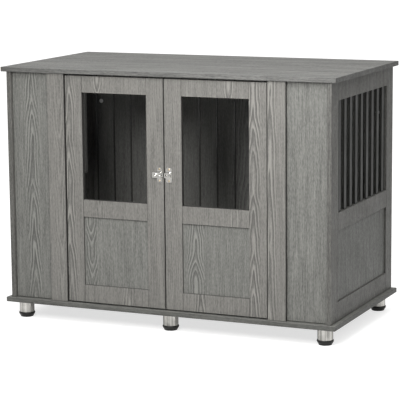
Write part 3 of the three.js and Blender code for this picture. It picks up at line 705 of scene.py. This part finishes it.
class CRATE_OT_feet(bpy.types.Operator):
    """Brushed tubes and moulded bases of the six levelling feet"""

    bl_idname = "crate.feet"
    bl_label = "Make the Feet"

    def execute(self, context):
        paint = context.scene.crate_paint
        steel, black = tube_material(paint), plastic_material(paint)
        grips = context.scene.crate_fittings.grips
        for row in ROWS:
            for column in COLUMNS:
                tube, base = f"foot_tube_{row}_{column}", f"foot_base_{row}_{column}"
                (low, high), (base_low, base_high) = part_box(tube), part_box(base)
                centre = ((low.x + high.x) / 2, (low.y + high.y) / 2, 0.0)
                outer = (high.x - low.x) / 2
                section = tube_profile(low.z, high.z, outer, outer - TUBE_WALL)
                points, faces = lathe(section[:, 0], section[:, 1], TUBE_POINTS)
                piece = new_piece(
                    f"steel_tube_{row}_{column}", points + centre, faces, "cabinet", steel)
                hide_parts(tube)
                lip = (base_high.x - base_low.x) / 2
                section = base_profile(base_low.z, low.z - LIP_GAP, base_high.z, lip, outer - NECK_INSET)
                on_lip = (section[:, 0] > lip - LIP_DEPTH)[:, None]

                def grip(rows, turn):
                    """Shallow round flutes on the lip, for turning the base by hand."""
                    return -GRIP_DEPTH * on_lip[rows[:, 0]] * np.clip(np.cos(grips * turn), 0.0, 1.0) ** 2

                points, faces = lathe(section[:, 0], section[:, 1], grips * GRIP_POINTS, grip)
                body = f"foot_{row}_{column}"
                piece = new_piece(
                    f"moulded_base_{row}_{column}", points + centre, faces, body, black, 60)
                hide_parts(base)
        return {"FINISHED"}


# ---- Latch and small fittings -------------------------------------------------------------

LATCH_SCREW_X = {"latch_case": -0.01625, "latch_keeper": 0.01675}  # of the two screws in each plate
PLATE_THICKNESS = 0.0012
PLATE_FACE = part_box("latch_case")[1].y - PLATE_THICKNESS
SCREW_ROOT = 0.0006  # added to a head's height for the depth of its back behind the plate's face
CAM_SET_BACK, CAM_THICKNESS, CAM_RIM = 0.0003, 0.011, 0.0005
SCREW_RECESS, CAM_RECESS = 0.0011, 0.0016  # depth of the cross

# A disc's rolled rim: shares of the radius, and how far each lies behind the face.
RIM_SHARES, RIM_DEPTHS = (0.975, 0.995, 1.0), (0.0002, 0.0006, 0.0011)


def metal_material(name, base, roughness, stretch, amount=0.16):
    """Plated metal with faint hairlines."""
    material, g, shader = new_material(name, Metallic=1.0)
    place = g.add("TexCoord").outputs["Object"]
    plate = use_group(g, "Hairlines", {
        "Vector": place, "Stretch": stretch, "Dark": shade(base, 0.86), "Light": shade(base, 1.12),
        "Base": roughness, "Amount": amount})
    g.put(shader["Base Color"], plate["Color"])
    g.put(shader["Roughness"], plate["Roughness"])
    bump(g, shader, plate["Height"], 0.00001)
    return material


def cross(x, y, half_width, half_length):
    """A mask of a cross-shaped recess: 1 inside its two bars, smooth at their rims."""
    soft = half_width * 0.35

    def inside(half, place):
        """1 nearer to the middle than half, and falling to 0 over the soft rim."""
        return np.clip((half - np.abs(place)) / soft + 0.5, 0, 1)

    return np.maximum(*(inside(half_width, a) * inside(half_length, b) for a, b in ((x, y), (y, x))))


def disc_face(radius, height, relief, rings, count, centre, thickness):
    """A disc that faces -Y: rings of points that stand height and relief(x, z, share of the radius) before
    the centre, a rolled rim, a straight wall, and a flat back that lies the thickness behind the centre."""
    share = np.concatenate([np.linspace(0.002, 0.94, rings), RIM_SHARES, [1.0]])
    lift = np.concatenate([np.zeros(rings), RIM_DEPTHS, [thickness]])
    turn = np.linspace(0.0, 2.0 * math.pi, count, endpoint=False)
    r = share[:, None] * radius
    x, z = r * np.cos(turn), r * np.sin(turn)
    y = lift[:, None] - (relief(x, z, share[:, None]) + height) * (lift[:, None] < thickness)
    points = np.stack([x + centre[0], y + centre[1], z + centre[2]], axis=-1).reshape(-1, 3)
    return close_poles(points, ring_faces(len(share), count), len(share), count)


def screw_relief(radius, height):
    """A low dome, which falls with the square of the share of the radius, less a cross recess."""
    def relief(x, z, share):
        dome = -height * 0.55 * share ** 2
        return dome - SCREW_RECESS * cross(x, z, radius * 0.14, radius * 0.55)
    return relief


def cam_relief(radius):
    """A flat face with a raised rim that is cut once, and a deep cross recess."""
    def relief(x, z, share):
        rim = CAM_RIM * np.clip((share - 0.72) / 0.06, 0, 1)
        cut = np.clip((radius * 0.12 - np.abs(z)) / (radius * 0.05), 0, 1) * (x > radius * 0.5)
        return rim * (1 - cut) - CAM_RECESS * cross(x, z, radius * 0.13, radius * 0.52)
    return relief


class CRATE_OT_latch(bpy.types.Operator):
    """Nickel plate for the slide latch, and its four screws"""

    bl_idname = "crate.latch"
    bl_label = "Finish the Latch"

    def execute(self, context):
        paint, sizes = context.scene.crate_paint, context.scene.crate_fittings
        nickel = metal_material("latch_chrome", paint.nickel, roughness=0.16, stretch=(60, 60, 1200))
        for node in ("latch_case", "latch_bolt", "latch_keeper"):
            dress(node, nickel)
        yellow = metal_material("screw_zinc", paint.yellow, roughness=0.3, stretch=(900, 900, 60))
        radius, height = sizes.screw_radius, sizes.screw_height
        for node, body in (("latch_case", "left_door"), ("latch_keeper", "right_door")):
            low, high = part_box(node)
            x = LATCH_SCREW_X[node]
            for end, word in ((-1, "lower"), (1, "upper")):
                z = (low.z + high.z) / 2 + end * sizes.screw_spacing / 2
                points, faces = disc_face(radius, height, screw_relief(radius, height), 18, 64,
                                          (x, PLATE_FACE, z), height + SCREW_ROOT)
                new_piece(f"{node}_screw_{word}", points, faces, body, yellow, 50)
        return {"FINISHED"}


class CRATE_OT_cams(bpy.types.Operator):
    """Four cam fittings in the rear panel's pockets"""

    bl_idname = "crate.cams"
    bl_label = "Set the Cam Fittings"

    def execute(self, context):
        paint, sizes = context.scene.crate_paint, context.scene.crate_fittings
        zinc = metal_material("cam_zinc", paint.zinc, roughness=0.45, stretch=(500, 500, 500), amount=0.3)
        low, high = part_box("rear_panel")
        for word, side in SIDES:
            x = side * (high.x - sizes.cam_from_edge)
            for level, z in (("lower", low.z + sizes.cam_from_end), ("upper", high.z - sizes.cam_from_end)):
                points, faces = disc_face(sizes.cam_radius, 0.0, cam_relief(sizes.cam_radius), 26, 96,
                                          (x, low.y + CAM_SET_BACK, z), CAM_THICKNESS)
                new_piece(f"cam_fitting_{word}_{level}", points, faces, "cabinet", zinc, 40)
        return {"FINISHED"}


class CRATE_OT_pivots(bpy.types.Operator):
    """Blackened steel for the doors' pivot pins"""

    bl_idname = "crate.pivots"
    bl_label = "Finish the Pivots"

    def execute(self, context):
        steel = metal_material(
            "pin_steel", context.scene.crate_paint.pin, roughness=0.42, stretch=(30, 30, 1500), amount=0.25)
        for word, _ in SIDES:
            for end in ("bottom", "top"):
                dress(f"{word}_door_pivot_{end}", steel)
        return {"FINISHED"}


# ---- Stage --------------------------------------------------------------------------------

CAMERA_PLACE = (2.4056, -5.4078, 1.3714)
CAMERA_YAW, CAMERA_PITCH, CAMERA_ROLL = math.radians(24.05), math.radians(-9.50), -0.0091
FLOOR_HALF = 30
FLOOR_COLOUR, WHITE = (0.42, 0.42, 0.415, 1.0), (1.0, 1.0, 1.0, 1.0)
GLOSSY_GLOW = 0.35  # share of the floor's glow that glossy surfaces see
ROOM_LIGHT = 0.1  # strength of the white room for all but the camera
SKY_ANGLE = math.radians(110)
LIGHTS = {  # place, target and size
    "key": ((0.15, -2.3, 1.47), (0.0, -0.3, 0.45), 0.6),
    "upper": ((0.7, -1.5, 1.75), (0.1, -0.3, 0.6), 0.7),
    "card": ((1.9, -0.8, 0.5), (0.0, 0.0, 0.5), 0.9),
    "rear": ((-1.6, 2.7, 1.3), (-0.1, 0.3, 0.45), 1.2),
}


def soft_light(name, place, target, size, power):
    """A square soft light that looks at a target."""
    data = bpy.data.lights.new(name, "AREA")
    data.shape, data.size, data.energy = "SQUARE", size, power
    light = bpy.data.objects.new(name, data)
    bpy.context.scene.collection.objects.link(light)
    away = np.asarray(place, float) - np.asarray(target, float)
    light.location = place
    yaw, tilt = math.atan2(away[0], -away[1]), math.atan2(np.hypot(away[0], away[1]), away[2])
    light.rotation_euler = (tilt, 0.0, yaw)
    return light


class CRATE_OT_stage(bpy.types.Operator):
    """Pale floor, soft lights and the camera at the photograph's angle"""

    bl_idname = "crate.stage"
    bl_label = "Set the Stage"

    def execute(self, context):
        scene, stage = context.scene, context.scene.crate_stage
        mesh = bpy.data.meshes.new("floor")
        corners = [(x * FLOOR_HALF, y * FLOOR_HALF, 0) for x, y in ((-1, -1), (1, -1), (1, 1), (-1, 1))]
        mesh.from_pydata(corners, [], [(0, 1, 2, 3)])
        floor = bpy.data.objects.new("floor", mesh)
        scene.collection.objects.link(floor)
        material, g, shader = new_material("pale_floor", Roughness=0.9, Specular_IOR_Level=0.1)
        shader["Base Color"].default_value = FLOOR_COLOUR
        shader["Emission Color"].default_value = WHITE
        rays = g.add("LightPath").outputs
        glossy = g.math("MULTIPLY", rays["Is Glossy Ray"], GLOSSY_GLOW)
        seen = g.math("MAXIMUM", rays["Is Camera Ray"], glossy)
        g.put(shader["Emission Strength"], g.math("MULTIPLY", seen, stage.glow))
        mesh.materials.append(material)

        world = bpy.data.worlds.new("white_room")
        world.use_nodes = True
        g = Graph(world.node_tree)
        backdrop = world.node_tree.nodes["Background"]
        backdrop.inputs["Color"].default_value = WHITE
        seen = g.add("LightPath").outputs["Is Camera Ray"]
        strength = g.add("MapRange", {"Value": seen, "To Min": ROOM_LIGHT, "To Max": 1.0}).outputs[0]
        g.put(backdrop.inputs["Strength"], strength)
        scene.world = world

        lights = {
            name: soft_light(name, *where, getattr(stage, f"{name}_power")) for name, where in LIGHTS.items()}
        lights["card"].visible_diffuse = False
        lights["rear"].visible_glossy = False
        sky = bpy.data.lights.new("sky", "SUN")
        sky.energy, sky.angle = stage.sky_strength, SKY_ANGLE
        scene.collection.objects.link(bpy.data.objects.new("sky", sky))

        data = bpy.data.cameras.new("camera")
        data.lens, data.sensor_width = stage.lens, 36.0
        data.clip_end = 100.0
        camera = bpy.data.objects.new("camera", data)
        scene.collection.objects.link(camera)
        camera.location = CAMERA_PLACE
        camera.rotation_mode = "XYZ"
        camera.rotation_euler = (math.radians(90) + CAMERA_PITCH, 0.0, CAMERA_YAW)
        camera.rotation_euler.rotate_axis("Z", CAMERA_ROLL)
        scene.camera = camera
        scene.view_settings.view_transform = "Standard"
        return {"FINISHED"}


# ---- Add-on -------------------------------------------------------------------------------

PIECES = (
    CRATE_OT_boards, CRATE_OT_slats, CRATE_OT_feet, CRATE_OT_latch, CRATE_OT_cams, CRATE_OT_pivots,
    CRATE_OT_stage)
SETTINGS = {
    "crate_wood": WoodFinish, "crate_paint": PaintFinish,
    "crate_fittings": FittingSizes, "crate_stage": StageSettings}


class CRATE_PT_panel(bpy.types.Panel):
    """Lists the crate's steps in the sidebar"""

    bl_idname = "CRATE_PT_panel"
    bl_label = "Dog Crate"
    bl_space_type = "VIEW_3D"
    bl_region_type = "UI"
    bl_category = "Crate"

    def draw(self, context):
        for piece in PIECES:
            self.layout.operator(piece.bl_idname)
        for setting, kind in SETTINGS.items():
            box = self.layout.box()
            for name in kind.__annotations__:
                box.prop(getattr(context.scene, setting), name)


CLASSES = (*SETTINGS.values(), *PIECES, CRATE_PT_panel)


def register():
    for kind in CLASSES:
        bpy.utils.register_class(kind)
    for name, kind in SETTINGS.items():
        setattr(bpy.types.Scene, name, bpy.props.PointerProperty(type=kind))


def unregister():
    for name in SETTINGS:
        delattr(bpy.types.Scene, name)
    for kind in reversed(CLASSES):
        bpy.utils.unregister_class(kind)


def main():
    """Runs every step in order."""
    register()
    for piece in PIECES:
        area, step = piece.bl_idname.split(".")
        getattr(getattr(bpy.ops, area), step)()


if __name__ == "__main__":
    main()
